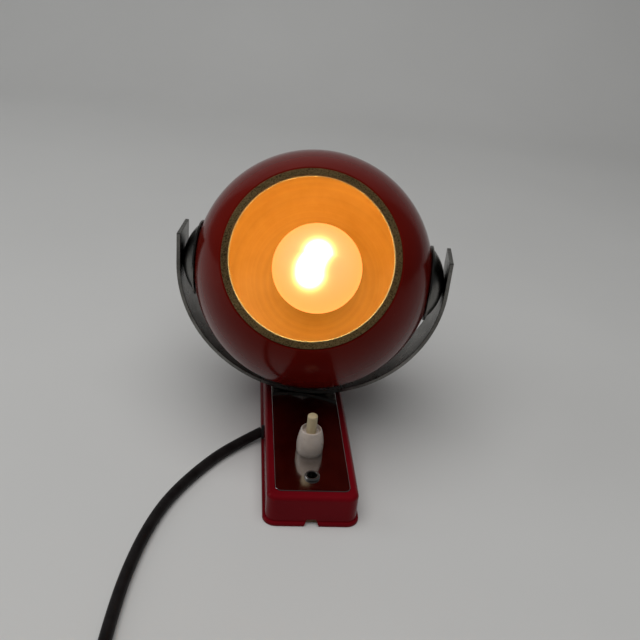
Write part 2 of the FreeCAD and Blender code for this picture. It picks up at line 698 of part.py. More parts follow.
def lead_grommet():
    outer_face = BALL_RADIUS + 1.2
    inner_seat = BALL_RADIUS - BALL_WALL - 0.3
    shape = turned([(LEAD_BORE, inner_seat - 1), (LEAD_FLANGE, inner_seat - 1), (LEAD_FLANGE, inner_seat),
                    (LEAD_SLEEVE, inner_seat), (LEAD_SLEEVE, BALL_RADIUS), (LEAD_FLANGE, BALL_RADIUS),
                    (LEAD_FLANGE - 0.5, outer_face), (LEAD_BORE, outer_face)])
    return in_shade(toward_lead_inlet(shape))


# ---- Lampholder and bulb ----

def lampholder_body():
    shape = turned([(PIVOT_SHANK, HOLDER_BOSS_BACK), (HOLDER_BOSS_RADIUS, HOLDER_BOSS_BACK),
                    (HOLDER_BOSS_RADIUS, HOLDER_BACK), (HOLDER_RADIUS - 1, HOLDER_BACK),
                    (HOLDER_RADIUS, HOLDER_BACK + 1), (HOLDER_RADIUS, HOLDER_MOUTH - 1.5),
                    (HOLDER_RADIUS - 1.5, HOLDER_MOUTH), (HOLDER_BORE, HOLDER_MOUTH),
                    (HOLDER_BORE, HOLDER_FLOOR), (PIVOT_SHANK, HOLDER_FLOOR)])
    return on_lamp_axis(shape)


def holder_screw():
    top = -BALL_RADIUS - HOLDER_SCREW_HEAD
    screw = turned([(0, top), (2.8, top), (3.7, top + 0.5), (4.0, -BALL_RADIUS),
                    (PIVOT_SHANK, -BALL_RADIUS), (PIVOT_SHANK, HOLDER_FLOOR - 1), (0, HOLDER_FLOOR - 1)])
    slot = block((-SLOT_HALF_WIDTH, SLOT_HALF_WIDTH), (-6, 6), (top - 1, top + 0.8))
    return on_lamp_axis(screw.cut(slot))


def contact_sleeve():
    return on_lamp_axis(ring(HOLDER_BORE - 0.6, CAP_RADIUS + 0.15, CAP_BACK - 0.5, HOLDER_MOUTH - 2))


def centre_contact():
    tip = bulb_tip()
    strip = block((-2, 2), (-7, 3), (tip - 0.6, tip))
    leg = block((-2, 2), (-7, -6.4), (HOLDER_FLOOR, tip - 0.6))
    return on_lamp_axis(strip.fuse(leg).removeSplitter())


def bulb_tip():
    return BULB_CENTRE + BULB_RADIUS - BULB_LENGTH


def bulb_outline(radius, neck_radius):
    """A ball that runs tangentially into a straight cone down to the neck, about Z."""
    drop = BULB_CENTRE - BULB_NECK_END
    reach = math.hypot(neck_radius, drop)
    turn = math.atan2(neck_radius, drop) + math.acos(radius / reach)
    seat_radius = radius * math.sin(turn)
    seat_height = BULB_CENTRE - radius * math.cos(turn)
    cone = turned([(0, BULB_NECK_END), (neck_radius, BULB_NECK_END), (seat_radius, seat_height),
                   (0, seat_height)])
    ball = Part.makeSphere(radius, V(0, 0, BULB_CENTRE))
    return ball.fuse(cone)


def bulb_glass():
    outer = bulb_outline(BULB_RADIUS, BULB_NECK_RADIUS)
    inner = bulb_outline(BULB_RADIUS - BULB_GLASS, BULB_NECK_RADIUS - BULB_GLASS)
    return on_lamp_axis(outer.cut(inner))


def bulb_cap():
    tip = bulb_tip()
    bore = CAP_RADIUS - CAP_WALL
    return on_lamp_axis(turned([(0, tip), (2.2, tip), (3.0, CAP_BACK - 1), (5.8, CAP_BACK),
                                (CAP_RADIUS, CAP_BACK + 1), (CAP_RADIUS, BULB_NECK_END),
                                (bore, BULB_NECK_END), (bore, CAP_FLOOR), (0, CAP_FLOOR)]))


def filament_height():
    return BULB_CENTRE - FILAMENT_BEHIND_CENTRE


def bulb_stem():
    low, high = STEM_RADII
    glass = turned([(0, CAP_FLOOR), (low, CAP_FLOOR), (high, STEM_TOP), (0, STEM_TOP)])
    leads = []
    for side in SIDES:
        foot = V(side * STEM_LEAD_SPREAD, 0, STEM_TOP - 2)
        head = V(side * FILAMENT_RADIUS, 0, filament_height() - STEM_LEAD_RADIUS)
        leads.append(Part.makeCylinder(STEM_LEAD_RADIUS, foot.distanceToPoint(head), foot, head - foot))
    return on_lamp_axis(glass.fuse(leads).removeSplitter())


def bulb_filament():
    """Half a ring of coiled wire that rises between the two lead tips."""
    centre = V(0, 0, filament_height())
    arc = Part.makeTorus(FILAMENT_RADIUS, FILAMENT_WIRE, V(0, 0, 0), Z_AXIS, 0, 360, 180)
    arc.rotate(V(0, 0, 0), X_AXIS, 90)
    return on_lamp_axis(arc.translated(centre))


# ---- Cord and plug ----

def cord_coil():
    r0, r1, top, cut = COIL_INNER, COIL_OUTER, COIL_HEIGHT, COIL_ROUND
    profile = [(r0 + cut, 0), (r1 - cut, 0), (r1, cut), (r1, top - cut), (r1 - cut, top), (r0 + cut, top),
               (r0, top - cut), (r0, cut)]
    return turned(profile).translated(COIL_CENTRE)


def on_plug(shape):
    """From the plug's own frame, along +X from the cord's end, to its place on the floor."""
    shape.rotate(V(0, 0, 0), Z_AXIS, PLUG_HEADING)
    shape.translate(V(PLUG_AT.x, PLUG_AT.y, PLUG_THICKNESS / 2 + 0.05))
    return shape


def plug_body():
    half = PLUG_THICKNESS / 2
    outline = PLUG_OUTLINE + [(x, -y) for x, y in reversed(PLUG_OUTLINE)]
    body = prism(outline, -half, half)
    body = body.makeFillet(PLUG_ROUND, upright_edges(body))
    rims = edges_at_height(body, half) + edges_at_height(body, -half)
    body = body.makeFillet(PLUG_ROUND / 2, rims)
    boot = along_x(Part.makeCone(BOOT_RADII[0], BOOT_RADII[1], PLUG_OUTLINE[0][0] + 2))
    return on_plug(body.fuse(boot).removeSplitter())


def plug_pins():
    face = PLUG_OUTLINE[-1][0]
    pins = []
    for side in SIDES:
        pin = along_x(cylinder(PLUG_PIN_RADIUS, 0, PLUG_PIN_LENGTH - PLUG_PIN_RADIUS))
        tip = Part.makeSphere(PLUG_PIN_RADIUS, V(PLUG_PIN_LENGTH - PLUG_PIN_RADIUS, 0, 0))
        pin = pin.fuse(tip).removeSplitter()
        pin.translate(V(face, side * PLUG_PIN_PITCH / 2, 0))
        pins.append(on_plug(pin))
    return pins


NODES = {
    "base_housing": base_housing,
    "cover_plate": cover_plate,
    "back_plate": back_plate,
    "back_plate_screws": back_plate_screws,
    "back_plate_posts": back_plate_posts,
    "fixing_eyelets": fixing_eyelets,
    "switch_barrel": switch_barrel,
    "switch_body": switch_body,
    "switch_contacts": switch_contacts,
    "pin_spring": pin_spring,
    "push_pin": push_pin,
    "swivel_stud": swivel_stud,
    "swivel_lock_nut": swivel_lock_nut,
    "swivel_washer": swivel_washer,
    "swivel_nut": swivel_nut,
    "terminal_block": terminal_block,
    "terminal_inserts": terminal_inserts,
    "terminal_screws": terminal_screws,
    "inner_wires": inner_wires,
    "cord_grommet": cord_grommet,
    "cord_inner_end": cord_inner_end,
    "cord_clamp": cord_clamp,
    "cord_clamp_screws": clamp_screws,
    "bracket_strap": bracket_strap,
    "pivot_screws": pivot_screws,
    "pivot_washers": pivot_washers,
    "pivot_nuts": pivot_nuts,
    "dome_spacer_left": lambda: dome_spacers()[0],
    "dome_spacer_right": lambda: dome_spacers()[1],
    "shade_shell": shade_shell,
    "rim_ring": rim_ring,
    "reflector": reflector,
    "pivot_bushes": pivot_bushes,
    "lead_grommet": lead_grommet,
    "lampholder_body": lampholder_body,
    "holder_screw": holder_screw,
    "contact_sleeve": contact_sleeve,
    "centre_contact": centre_contact,
    "bulb_glass": bulb_glass,
    "bulb_cap": bulb_cap,
    "bulb_stem": bulb_stem,
    "bulb_filament": bulb_filament,
    "power_cord": lambda: swept_tube("power cord", CORD_ROUTE, CORD_RADIUS),
    "cord_coil": cord_coil,
    "cord_tail": lambda: swept_tube("cord tail", TAIL_ROUTE, CORD_RADIUS),
    "plug_body": plug_body,
    "plug_pins": plug_pins,
}


def main():
    os.makedirs("parts", exist_ok=True)
    for name, make in NODES.items():
        made = make()
        shape = Part.makeCompound(made) if isinstance(made, list) else made
        bad = [s for s in shape.Solids if not s.isValid() or s.Volume <= 0]
        verdict = "BAD" if bad or not shape.Solids else "good"
        print(f"{name}: {len(shape.Solids)} solids, {shape.Volume:.1f} mm3, {verdict}")
        shape.exportStep(f"parts/{name}.step")


main()
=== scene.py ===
import json
import math

import bmesh
import bpy
from mathutils import Matrix, Vector


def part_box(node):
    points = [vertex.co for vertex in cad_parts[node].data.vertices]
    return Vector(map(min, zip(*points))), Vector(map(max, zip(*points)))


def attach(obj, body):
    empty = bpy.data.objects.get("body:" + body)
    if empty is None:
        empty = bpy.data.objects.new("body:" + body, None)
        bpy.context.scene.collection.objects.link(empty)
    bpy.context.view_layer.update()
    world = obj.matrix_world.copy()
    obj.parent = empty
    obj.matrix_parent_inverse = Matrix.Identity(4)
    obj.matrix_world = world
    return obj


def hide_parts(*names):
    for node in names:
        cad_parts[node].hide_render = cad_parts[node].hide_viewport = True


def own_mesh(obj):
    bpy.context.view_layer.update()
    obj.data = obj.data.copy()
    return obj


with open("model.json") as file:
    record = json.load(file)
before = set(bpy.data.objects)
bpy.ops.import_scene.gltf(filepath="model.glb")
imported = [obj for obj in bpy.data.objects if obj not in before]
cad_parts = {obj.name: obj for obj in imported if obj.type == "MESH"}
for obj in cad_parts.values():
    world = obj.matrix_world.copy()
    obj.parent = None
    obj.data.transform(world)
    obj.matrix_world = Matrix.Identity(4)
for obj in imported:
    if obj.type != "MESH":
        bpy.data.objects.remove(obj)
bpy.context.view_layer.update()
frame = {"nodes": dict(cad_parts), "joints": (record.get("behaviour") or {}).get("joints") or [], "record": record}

# An adjustable eyeball lamp. Metres, in the frame's own axes: +Z up, the switch end towards -Y.

MM = 0.001

# ---- Places that come from the frame ----

JOINTS = {joint["name"]: joint for joint in frame["joints"]}
BALL = Vector(JOINTS["shade_tilt"]["pos_m"])
PIVOT = Vector(JOINTS["shade_tilt"]["axis"]).normalized()


def middle(node):
    low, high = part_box(node)
    return (Vector(low) + Vector(high)) / 2


AIM = (middle("rim_ring") - BALL).normalized()
SHADE_UP = AIM.cross(PIVOT)


def frame_matrix(origin, x_axis, y_axis, z_axis):
    """The matrix that carries a piece's own axes to these directions at this place."""
    matrix = Matrix((x_axis, y_axis, z_axis)).transposed().to_4x4()
    matrix.translation = origin
    return matrix


SHADE = frame_matrix(BALL, PIVOT, SHADE_UP, AIM)

# ---- Camera ----

CAMERA_AT = Vector((-39.3, -368.5, 254.0)) * MM
CAMERA_HEADING = math.radians(7.0)
CAMERA_PITCH = math.radians(28.1)
CAMERA_ROLL = math.radians(5.9)
CAMERA_LENS = 45.0
SENSOR = 36.0


def make_camera():
    data = bpy.data.cameras.new("camera")
    data.lens = CAMERA_LENS
    data.sensor_width = SENSOR
    data.clip_start = 0.01
    camera = bpy.data.objects.new("camera", data)
    bpy.context.scene.collection.objects.link(camera)
    turn = Matrix.Rotation(-CAMERA_HEADING, 4, "Z")
    tip = Matrix.Rotation(math.pi / 2 - CAMERA_PITCH, 4, "X")
    roll = Matrix.Rotation(CAMERA_ROLL, 4, "Z")
    camera.matrix_world = Matrix.Translation(CAMERA_AT) @ turn @ tip @ roll
    bpy.context.scene.camera = camera


# ---- Mesh helpers ----

def link(name, data):
    piece = bpy.data.objects.new(name, data)
    bpy.context.scene.collection.objects.link(piece)
    return piece


def mesh_piece(name, build, place=None):
    """A piece whose mesh is filled in by build(bm), in its own axes, and then set in place."""
    mesh = bpy.data.meshes.new(name)
    bm = bmesh.new()
    build(bm)
    if place is not None:
        bmesh.ops.transform(bm, matrix=place, verts=bm.verts)
    bmesh.ops.recalc_face_normals(bm, faces=bm.faces)
    bm.to_mesh(mesh)
    bm.free()
    for face in mesh.polygons:
        face.use_smooth = True
    return link(name, mesh)


def lathe(bm, profile, segments=96, closed=True):
    """Turns an outline of (radius, height) points about Z. A closed outline makes a ring."""
    rings = []
    for radius, height in profile:
        if radius < 1e-7:
            rings.append([bm.verts.new((0, 0, height))])
            continue
        angles = [2 * math.pi * k / segments for k in range(segments)]
        rings.append([bm.verts.new((radius * math.cos(a), radius * math.sin(a), height)) for a in angles])
    pairs = list(zip(rings, rings[1:]))
    if closed:
        pairs.append((rings[-1], rings[0]))
    for low, high in pairs:
        for k in range(segments):
            after = (k + 1) % segments
            corners = [low[k % len(low)], low[after % len(low)], high[after % len(high)], high[k % len(high)]]
            unique = list(dict.fromkeys(corners))
            if len(unique) > 2:
                bm.faces.new(unique)


# ---- Material helpers ----

class Shader:
    """A new material with a Principled shader, and short calls to add nodes to it."""

    def __init__(self, name, **inputs):
        self.material = bpy.data.materials.new(name)
        self.material.use_nodes = True
        self.tree = self.material.node_tree
        self.principled = self.tree.nodes["Principled BSDF"]
        for label, value in inputs.items():
            self.principled.inputs[label.replace("_", " ")].default_value = value

    def node(self, kind, **settings):
        made = self.tree.nodes.new(kind)
        for label, value in settings.items():
            if hasattr(made, label):
                setattr(made, label, value)
            else:
                made.inputs[label.replace("_", " ")].default_value = value
        return made

    def join(self, source, target):
        self.tree.links.new(source, target)

    def position(self, matrix=None, scale=None):
        """Object coordinates, which are the row frame's metres, or a part's own axes, stretched."""
        vector = self.node("ShaderNodeTexCoord").outputs["Object"]
        if matrix is not None:
            turn = matrix.inverted()
            mapping = self.node("ShaderNodeMapping")
            mapping.inputs["Location"].default_value = turn.translation
            mapping.inputs["Rotation"].default_value = turn.to_euler()
            self.join(vector, mapping.inputs["Vector"])
            vector = mapping.outputs["Vector"]
        if scale is not None:
            stretch = self.node("ShaderNodeMapping")
            stretch.inputs["Scale"].default_value = scale
            self.join(vector, stretch.inputs["Vector"])
            vector = stretch.outputs["Vector"]
        return vector

    def math(self, operation, first, second=0.0):
        """One step of arithmetic on sockets or plain numbers."""
        made = self.node("ShaderNodeMath", operation=operation)
        for value, socket in ((first, made.inputs[0]), (second, made.inputs[1])):
            if isinstance(value, bpy.types.NodeSocket):
                self.join(value, socket)
            else:
                socket.default_value = value
        return made.outputs[0]

    def noise(self, scale, vector=None, detail=3.0, roughness=0.5):
        made = self.node("ShaderNodeTexNoise", Scale=scale, Detail=detail, Roughness=roughness)
        self.join(vector or self.position(), made.inputs["Vector"])
        return made.outputs["Fac"]

    def ramp(self, factor, *stops):
        """A colour ramp through (position, colour or grey level) stops."""
        made = self.node("ShaderNodeValToRGB")
        elements = made.color_ramp.elements
        while len(elements) < len(stops):
            elements.new(0.5)
        for element, (place, colour) in zip(elements, stops):
            element.position = place
            grey = not isinstance(colour, tuple)
            element.color = (colour, colour, colour, 1) if grey else (*colour, 1)
        self.join(factor, made.inputs["Fac"])
        return made.outputs["Color"]

    def mix(self, factor, first, second, blend="MIX"):
        made = self.node("ShaderNodeMix", data_type="RGBA", blend_type=blend)
        for value, socket in ((factor, 0), (first, 6), (second, 7)):
            if isinstance(value, bpy.types.NodeSocket):
                self.join(value, made.inputs[socket])
            elif socket == 0:
                made.inputs[socket].default_value = value
            else:
                made.inputs[socket].default_value = (*value, 1)
        return made.outputs[2]

    def colour(self, source):
        self.join(source, self.principled.inputs["Base Color"])

    def rough(self, source, low, high):
        spread = self.node("ShaderNodeMapRange")
        spread.inputs["To Min"].default_value = low
        spread.inputs["To Max"].default_value = high
        self.join(source, spread.inputs["Value"])
        self.join(spread.outputs["Result"], self.principled.inputs["Roughness"])

    def bump(self, height, depth, strength=0.5):
        made = self.node("ShaderNodeBump", Strength=strength, Distance=depth)
        self.join(height, made.inputs["Height"])
        previous = self.principled.inputs["Normal"]
        if previous.is_linked:
            self.join(previous.links[0].from_socket, made.inputs["Normal"])
        self.join(made.outputs["Normal"], previous)


# ---- Bulb sizes and glow, along and across the ball's own axes ----

LAMP_OFFSET = 2.0 * MM
BULB_RADIUS = 22.5 * MM
BULB_CENTRE = 8.0 * MM
BULB_MIDDLE = Vector((LAMP_OFFSET, 0, BULB_CENTRE))
BULB_ARC = math.radians(120)
BULB_ARC_STEPS = 30
NECK_RADIUS = 7.0 * MM
NECK_END = -26.5 * MM
NECK_FLARE = 0.4 * MM
NECK_LEAD = 9 * MM
WAIST_LEAD = 11 * MM
WAIST_STEPS = 14
LAMP_COLOUR = (1.0, 0.285, 0.07)
HOT_COLOUR = (1.0, 0.58, 0.24)
PEARL_GLOW = 1.45
BACK_GLOW = 1.6

# The filament's bright patch, in bulb radii from the bulb's axis: a bent upright bar that leans
HOT_SPOT_CENTRE = (-0.10, -0.02)
HOT_SPOT_REACH = 0.22
HOT_SPOT_LEAN = 0.3
HOT_SPOT_BEND = 0.05
HOT_SPOT_WIDTH = 0.26
HOT_SPOT_PEAK = 16.0
HOT_SPOT_EDGE = 3.6
BACK_GLOW_FROM = 0.15
BACK_GLOW_FULL = -0.5


# ---- Materials ----

def enamel(name, deep, bright, gloss_tint):
    """Glossy sprayed enamel: a faint orange peel, small chips and slow changes of colour."""
    look = Shader(name, Roughness=0.16, IOR=1.5, Specular_IOR_Level=0.17)
    look.principled.inputs["Specular Tint"].default_value = (*gloss_tint, 1)
    body = look.ramp(look.noise(28, detail=4), (0.3, deep), (0.75, bright))
    chips = look.ramp(look.noise(420, detail=2), (0.76, 0.0), (0.79, 1.0))
    look.colour(look.mix(chips, body, tuple(min(1.0, 2.2 * c + 0.03) for c in bright)))
    look.rough(look.noise(160, detail=5), 0.11, 0.2)
    look.bump(look.noise(900, detail=1), 0.00003, 0.2)
    look.bump(look.noise(70, detail=2), 0.0001, 0.1)
    return look.material


def mirror_chrome():
    """The cover plate: a dark mirror with pits and fine scratches."""
    look = Shader("mirror_chrome", Metallic=1.0, Roughness=0.1)
    stain = look.noise(60, detail=6, roughness=0.7)
    look.colour(look.ramp(stain, (0.35, (0.54, 0.50, 0.48)), (0.7, (0.78, 0.75, 0.73))))
    look.rough(look.noise(240, detail=6, roughness=0.7), 0.04, 0.22)
    scratches = look.noise(300, look.position(scale=(0.08, 1.6, 1)), detail=3)
    look.bump(scratches, 0.00002, 0.3)
    return look.material


def strap_chrome():
    """Worn chrome: greyer and rougher where the plating has dulled, brushed along the strap. The whole colour is
    kept very dark as painted shade, standing in for the dark room the chrome reflects.
    """
    look = Shader("strap_chrome", Metallic=1.0, Roughness=0.3)
    dull = look.noise(38, detail=7, roughness=0.68)
    # Painted shade: both ramp colours are far darker than bare chrome, standing in for dark reflections; the
    # spread between them is dulled plating
    look.colour(look.ramp(dull, (0.3, (0.08, 0.077, 0.07)), (0.62, (0.22, 0.215, 0.20))))
    look.rough(look.noise(120, detail=6, roughness=0.7), 0.16, 0.42)
    look.bump(look.noise(420, look.position(scale=(0.5, 3.0, 0.5)), detail=4), 0.00003, 0.3)
    return look.material


def plated_steel():
    look = Shader("plated_steel", Metallic=1.0, Roughness=0.3)
    look.colour(look.ramp(look.noise(200, detail=4), (0.3, (0.36, 0.35, 0.33)), (0.7, (0.58, 0.57, 0.55))))
    look.rough(look.noise(400, detail=3), 0.2, 0.45)
    return look.material


def tarnished_rim():
    """Bare metal with a speckled, olive-brown tarnish."""
    look = Shader("tarnished_rim", Metallic=0.4, Roughness=0.55, Specular_IOR_Level=0.2)
    speckle = look.noise(1500, detail=3, roughness=0.7)
    base = look.ramp(speckle, (0.36, (0.03, 0.018, 0.006)), (0.47, (0.13, 0.086, 0.034)),
                     (0.66, (0.24, 0.165, 0.075)))
    drift = look.ramp(look.noise(45, detail=2), (0.3, 0.7), (0.7, 1.0))
    look.colour(look.mix(1.0, base, drift, "MULTIPLY"))
    look.rough(speckle, 0.35, 0.7)
    look.bump(speckle, 0.00012, 0.6)
    return look.material


def reflector_metal():
    """Spun, pale gold aluminium: faint rings about the ball's axis and a few dull blotches."""
    look = Shader("reflector_metal", Metallic=0.35, Roughness=0.45)
    flat = look.node("ShaderNodeVectorMath", operation="MULTIPLY")
    flat.inputs[1].default_value = (1, 1, 0)
    look.join(look.position(SHADE), flat.inputs[0])
    radius = look.node("ShaderNodeVectorMath", operation="LENGTH")
    look.join(flat.outputs["Vector"], radius.inputs[0])
    rings = look.node("ShaderNodeTexNoise", noise_dimensions="1D", Scale=500, Detail=2)
    look.join(radius.outputs["Value"], rings.inputs["W"])
    blotch = look.noise(34, detail=5, roughness=0.6)
    body = look.ramp(blotch, (0.3, (0.78, 0.72, 0.27)), (0.62, (0.88, 0.85, 0.38)))
    ringed = look.ramp(rings.outputs["Fac"], (0.3, 0.94), (0.7, 1.0))
    look.colour(look.mix(1.0, body, ringed, "MULTIPLY"))
    look.rough(rings.outputs["Fac"], 0.36, 0.55)
    look.bump(rings.outputs["Fac"], 0.00006, 0.2)
    return look.material


def brass():
    look = Shader("brass", Metallic=1.0, Roughness=0.3)
    look.colour(look.ramp(look.noise(150, detail=4), (0.3, (0.48, 0.33, 0.13)), (0.7, (0.72, 0.55, 0.27))))
    look.rough(look.noise(350, detail=3), 0.22, 0.45)
    return look.material


def moulded(name, low, high, gloss, grain=500, wax=0.0, shine=0.5):
    """Moulded plastic, rubber or bakelite: slow changes of colour and a fine grain."""
    look = Shader(name, Roughness=gloss, Subsurface_Weight=wax, Specular_IOR_Level=shine)
    look.principled.inputs["Subsurface Radius"].default_value = (0.002, 0.0014, 0.0008)
    look.colour(look.ramp(look.noise(140, detail=5, roughness=0.6), (0.3, low), (0.7, high)))
    look.rough(look.noise(grain, detail=4), gloss * 0.75, min(1.0, gloss * 1.35))
    look.bump(look.noise(grain, detail=2), 0.00004, 0.3)
    return look.material


def fibreboard():
    look = Shader("fibreboard", Roughness=0.85)
    fibres = look.noise(260, look.position(scale=(1, 0.25, 1)), detail=8, roughness=0.7)
    look.colour(look.ramp(fibres, (0.3, (0.10, 0.055, 0.03)), (0.7, (0.26, 0.16, 0.09))))
    look.bump(fibres, 0.0002, 0.5)
    return look.material


def glass(name, roughness):
    look = Shader(name, Roughness=roughness, Transmission_Weight=0.9, IOR=1.45)
    look.rough(look.noise(300, detail=2), roughness, roughness + 0.06)
    return look.material


def hot_spot(look, axes):
    """How near each point of the glass is to the filament's bent bar: 1 in front of it, 0 away from it."""
    up = look.math("SUBTRACT", axes.outputs["Y"], HOT_SPOT_CENTRE[1])
    along = look.math("MAXIMUM", look.math("MINIMUM", up, HOT_SPOT_REACH), -HOT_SPOT_REACH)
    lean = look.math("MULTIPLY", along, HOT_SPOT_LEAN)
    bend = look.math("MULTIPLY", look.math("MULTIPLY", along, along), HOT_SPOT_BEND / HOT_SPOT_REACH ** 2)
    bar = look.math("ADD", look.math("ADD", lean, bend), HOT_SPOT_CENTRE[0])
    aside = look.math("SUBTRACT", axes.outputs["X"], bar)
    beyond = look.math("SUBTRACT", up, along)
    apart = look.math("ADD", look.math("MULTIPLY", aside, aside), look.math("MULTIPLY", beyond, beyond))
    share = look.math("POWER", look.math("DIVIDE", apart, HOT_SPOT_WIDTH ** 2), HOT_SPOT_EDGE)
    near = look.math("DIVIDE", 1.0, look.math("ADD", share, 1.0))
    return look.math("MULTIPLY", near, look.math("GREATER_THAN", axes.outputs["Z"], 0.0))


def bulb_pearl():
    """Pearl glass, lit from inside: even in front, white-hot over the filament, brighter at the back."""
    look = Shader("bulb_pearl", Roughness=0.3)
    look.principled.inputs["Base Color"].default_value = (0.32, 0.25, 0.17, 1)
    axes = look.node("ShaderNodeSeparateXYZ")
    place = look.position(SHADE @ Matrix.Translation(BULB_MIDDLE), (1 / BULB_RADIUS,) * 3)
    look.join(place, axes.inputs[0])
    hot = hot_spot(look, axes)
    behind = look.node("ShaderNodeMapRange", interpolation_type="SMOOTHSTEP")
    behind.inputs["From Min"].default_value = BACK_GLOW_FROM
    behind.inputs["From Max"].default_value = BACK_GLOW_FULL
    behind.inputs["To Min"].default_value = 0.0
    behind.inputs["To Max"].default_value = BACK_GLOW
    look.join(axes.outputs["Z"], behind.inputs["Value"])
    extra = look.math("ADD", look.math("MULTIPLY", hot, HOT_SPOT_PEAK), behind.outputs["Result"])
    strength = look.math("MULTIPLY", look.math("ADD", extra, 1.0), PEARL_GLOW)
    look.join(look.mix(hot, LAMP_COLOUR, HOT_COLOUR), look.principled.inputs["Emission Color"])
    look.join(strength, look.principled.inputs["Emission Strength"])
    look.bump(look.noise(600, detail=2), 0.00002, 0.2)
    return look.material


def glowing(name, colour, strength):
    look = Shader(name, Roughness=0.5, Emission_Strength=strength)
    look.principled.inputs["Base Color"].default_value = (*colour, 1)
    look.principled.inputs["Emission Color"].default_value = (*colour, 1)
    return look.material


MATERIALS = {
    "red_enamel_base": enamel(
        "red_enamel_base", (0.12, 0.003, 0.006), (0.16, 0.004, 0.008), (1, 0.18, 0.2)),
    "red_enamel_ball": enamel(
        "red_enamel_ball", (0.105, 0.004, 0.002), (0.135, 0.006, 0.003), (1, 0.2, 0.12)),
    "mirror_chrome": mirror_chrome(),
    "strap_chrome": strap_chrome(),
    "plated_steel": plated_steel(),
    "tarnished_rim": tarnished_rim(),
    "reflector_metal": reflector_metal(),
    "brass": brass(),
    "bulb_glass": bulb_pearl(),
    "bulb_cap_metal": plated_steel(),
    "filament": glowing("filament", (1.0, 0.72, 0.36), 60.0),
    "stem_glass": glass("stem_glass", 0.05),
    "white_plastic": moulded("white_plastic", (0.43, 0.365, 0.32), (0.53, 0.455, 0.40), 0.28, 300, 0.15),
    "ivory_plastic": moulded("ivory_plastic", (0.46, 0.37, 0.22), (0.60, 0.49, 0.31), 0.3, 900, 0.2),
    "dark_bakelite": moulded("dark_bakelite", (0.02, 0.012, 0.008), (0.05, 0.03, 0.02), 0.3),
    "black_rubber": moulded(
        "black_rubber", (0.008, 0.008, 0.008), (0.018, 0.018, 0.018), 0.6, 900, shine=0.3),
    "black_cord": moulded(
        "black_cord", (0.006, 0.005, 0.005), (0.014, 0.012, 0.012), 0.5, 700, shine=0.15),
    "fibreboard": fibreboard(),
    "wire_sleeve": moulded("wire_sleeve", (0.16, 0.07, 0.03), (0.28, 0.13, 0.06), 0.4),
}


def paint_frame():
    """Gives each CAD node the material of its slot."""
    for row in frame["record"]["subparts"]:
        node = frame["nodes"][row["node"]]
        node.data.materials.clear()
        node.data.materials.append(MATERIALS[row["material_slot"]])


def dress(piece, slot, body, *replaced):
    """Gives a new piece the material of its slot, hangs it on the body it rides on and hides the nodes it stands
    for.
    """
    piece.data.materials.clear()
    piece.data.materials.append(MATERIALS[slot])
    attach(piece, body)
    if replaced:
        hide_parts(*replaced)
    return piece


# ---- Cord ----

CORD_DIAMETER = 5.2 * MM
CORD_ROUTE = [
    (-22.3, -31.0, 5.3),
    (-32.5, -36.9, 3.0),
    (-47.0, -51.2, 2.6),
    (-64.0, -77.0, 2.6),
    (-72.6, -99.8, 2.6),
    (-78.4, -127.0, 2.6),
    (-81.2, -154.5, 2.6),
    (-82.3, -179.5, 2.6),
    (-82.4, -204.0, 2.6),
]
TAIL_ROUTE = [
    (-41.0, -256.0, 2.6),
    (-18.0, -254.5, 2.7),
    (3.0, -248.0, 6.9),
]
COIL_CENTRE = (-46.0, -213.0)
COIL_OUTER = 36.5
COIL_INNER = 20.6
COIL_START = 184.0
COIL_LAYER_TURNS = 3.0
COIL_CLIMB_TURNS = 0.33
COIL_LEVELS = (2.65, 7.9)
COIL_STEP = 24.0
DROP_RING = [(37.9, 7.6), (39.7, 6.6), (41.3, 4.7), (42.3, 2.9)]


def coil_point(radius, angle, height):
    """A control point of the coil, set out so that the spline itself runs at this radius."""
    radius /= math.cos(math.radians(COIL_STEP / 2))
    turn = math.radians(angle)
    return (COIL_CENTRE[0] + radius * math.cos(turn), COIL_CENTRE[1] + radius * math.sin(turn), height)


def coil_points():
    """The stored turns: a spiral inwards on the floor, a climb, and a spiral outwards on top."""
    points = []
    angle = COIL_START
    climb_from = angle + 360 * COIL_LAYER_TURNS
    climb_to = climb_from + 360 * COIL_CLIMB_TURNS
    end = angle + 720 * COIL_LAYER_TURNS
    while angle < end:
        if angle < climb_from:
            share = (angle - COIL_START) / (climb_from - COIL_START)
            radius = COIL_OUTER + (COIL_INNER - COIL_OUTER) * share
            height = COIL_LEVELS[0]
        elif angle < climb_to:
            share = (angle - climb_from) / (climb_to - climb_from)
            radius = COIL_INNER
            height = COIL_LEVELS[0] + (COIL_LEVELS[1] - COIL_LEVELS[0]) * share
        else:
            share = (angle - climb_to) / (end - climb_to)
            radius = COIL_INNER + (COIL_OUTER - COIL_INNER) * share
            height = COIL_LEVELS[1]
        points.append(coil_point(radius, angle, height))
        angle += COIL_STEP
    for radius, height in DROP_RING:
        points.append(coil_point(radius, angle, height))
        angle += COIL_STEP * 0.75
    return points


def smooth_curve(name, points, radius):
    """A round tube on one NURBS spline with these control points, in millimetres."""
    data = bpy.data.curves.new(name, "CURVE")
    data.dimensions = "3D"
    data.resolution_u = 8
    data.bevel_depth = radius
    data.bevel_resolution = 6
    data.use_fill_caps = True
    spline = data.splines.new("NURBS")
    spline.points.add(len(points) - 1)
    for point, (x, y, z) in zip(spline.points, points):
        point.co = (x * MM, y * MM, z * MM, 1)
    spline.order_u = 3
    spline.use_endpoint_u = True
    return link(name, data)


def make_cord():
    cord = smooth_curve("mains_cord", CORD_ROUTE + coil_points() + TAIL_ROUTE, CORD_DIAMETER / 2)
    dress(cord, "black_cord", "base", "power_cord", "cord_coil", "cord_tail")


# ---- Floor, backdrop and light ----

FLOOR_COLOUR = (0.62, 0.62, 0.61)
FLOOR_SHADE = 0.97
SHEET_NEAR = -0.42
SHEET_BEND_START = 0.62
SHEET_BEND_RADIUS = 0.3
SHEET_BEND_STEPS = 12
SHEET_TOP = 1.3
SHEET_HALF_WIDTH = 0.95
SHEET_DROP = 0.2 * MM
ROOM_COLOUR = (0.9, 0.95, 1.0, 1)
ROOM_STRENGTH = 0.06


